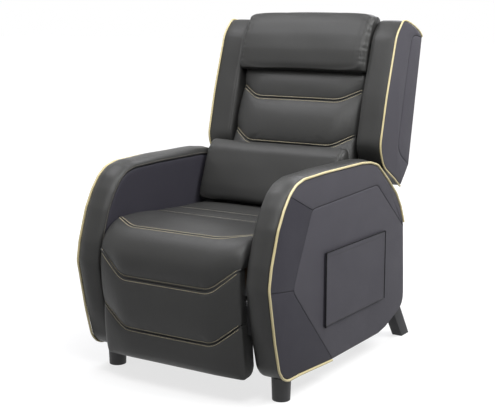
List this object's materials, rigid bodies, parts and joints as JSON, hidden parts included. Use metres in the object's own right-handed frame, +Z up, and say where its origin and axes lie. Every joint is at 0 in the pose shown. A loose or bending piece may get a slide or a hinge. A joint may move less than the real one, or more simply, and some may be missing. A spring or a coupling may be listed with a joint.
{
  "type": "push-back recliner armchair",
  "caption": "Upholstered push-back recliner armchair with winged reclining back, headrest and lumbar pillows, swing-out footrest and a side pocket.",
  "frame": {"origin": "on the floor, at the centre of the chair's footprint box; X = 0 is the plane midway between the arms", "axes": "+Z up, -Y the way the sitter faces, +X towards the sitter's left arm"},
  "size_m": [0.6847, 1.0035, 1.0829],
  "materials": {
    "cover_leather": "smooth black coated leather, satin",
    "panel_leather": "fine-grained bluish dark grey coated leather, matt",
    "gold_piping": "pale gold piping, satin",
    "foot_plastic": "black moulded plastic, matt",
    "plywood": "plain plywood",
    "black_steel": "black painted steel",
    "webbing": "woven black elastic webbing"
  },
  "bodies": {
    "base": {"arm_cover_left": "cover_leather", "arm_cover_right": "cover_leather", "arm_inner_panel_left": "panel_leather", "arm_inner_panel_right": "panel_leather", "arm_frame_left": "plywood", "arm_frame_right": "plywood", "arm_outer_panel_left": "panel_leather", "arm_outer_panel_right": "panel_leather", "arm_piping_left": "gold_piping", "arm_piping_right": "gold_piping", "front_foot_left": "foot_plastic", "front_foot_right": "foot_plastic", "rear_foot_left": "foot_plastic", "rear_foot_right": "foot_plastic", "side_plate_left": "black_steel", "side_plate_right": "black_steel", "pocket_gusset": "panel_leather", "pocket_front": "panel_leather", "front_cross_rail": "black_steel", "rear_cross_rail": "black_steel", "rear_stretcher": "plywood", "seat_frame": "plywood", "seat_spring_1": "black_steel", "seat_spring_2": "black_steel", "seat_spring_3": "black_steel", "seat_spring_4": "black_steel", "seat_spring_5": "black_steel", "seat_cushion": "cover_leather"},
    "back": {"back_bracket_left": "black_steel", "back_bracket_right": "black_steel", "wing_left": "cover_leather", "wing_right": "cover_leather", "wing_piping_left": "gold_piping", "wing_piping_right": "gold_piping", "back_frame": "plywood", "back_webbing_1": "webbing", "back_webbing_2": "webbing", "back_webbing_3": "webbing", "back_webbing_4": "webbing", "back_pad": "cover_leather", "rear_cover": "panel_leather", "headrest_pillow": "cover_leather", "lumbar_pillow": "cover_leather"},
    "swing_links": {"swing_link_left": "black_steel", "swing_link_right": "black_steel", "drive_tube": "black_steel"},
    "guide_links": {"guide_link_left": "black_steel", "guide_link_right": "black_steel"},
    "lower_carry_links": {"lower_carry_link_left": "black_steel", "lower_carry_link_right": "black_steel"},
    "upper_carry_links": {"upper_carry_link_left": "black_steel", "upper_carry_link_right": "black_steel"},
    "footrest": {"footrest_bracket_left": "black_steel", "footrest_bracket_right": "black_steel", "footrest_board": "plywood", "footrest_pad": "cover_leather"},
    "push_rods": {"push_rod_left": "black_steel", "push_rod_right": "black_steel"}
  },
  "joints": [
    {"name": "back_recline", "type": "hinge", "parent": "base", "child": "back", "pos_m": [0, 0.18, 0.402], "axis": [-1, 0, 0], "range_deg": [0, 48]},
    {"name": "swing_link_turn", "type": "hinge", "parent": "base", "child": "swing_links", "pos_m": [0, -0.287, 0.34], "axis": [-1, 0, 0], "range_deg": [0, 90]},
    {"name": "guide_link_turn", "type": "hinge", "parent": "base", "child": "guide_links", "pos_m": [0, -0.2135, 0.3015], "axis": [-1, 0, 0], "range_deg": [0, 90]},
    {"name": "lower_carry_turn", "type": "hinge", "parent": "swing_links", "child": "lower_carry_links", "pos_m": [0, -0.187, 0.115], "axis": [-1, 0, 0], "range_deg": [-90, 0]},
    {"name": "upper_carry_turn", "type": "hinge", "parent": "swing_links", "child": "upper_carry_links", "pos_m": [0, -0.209, 0.1645], "axis": [-1, 0, 0], "range_deg": [-90, 0]},
    {"name": "footrest_turn", "type": "hinge", "parent": "lower_carry_links", "child": "footrest", "pos_m": [0, -0.397, 0.225], "axis": [-1, 0, 0], "range_deg": [0, 90]},
    {"name": "push_rod_turn", "type": "hinge", "parent": "back", "child": "push_rods", "pos_m": [0, 0.20929, 0.33622], "axis": [-1, 0, 0], "range_deg": [-48, 0]}
  ],
  "couplings": [
    {"joint": "swing_link_turn", "follows": "back_recline", "ratio": 1.875},
    {"joint": "guide_link_turn", "follows": "back_recline", "ratio": 1.875},
    {"joint": "lower_carry_turn", "follows": "back_recline", "ratio": -1.875},
    {"joint": "upper_carry_turn", "follows": "back_recline", "ratio": -1.875},
    {"joint": "footrest_turn", "follows": "back_recline", "ratio": 1.875},
    {"joint": "push_rod_turn", "follows": "back_recline", "ratio": -1}
  ]
}
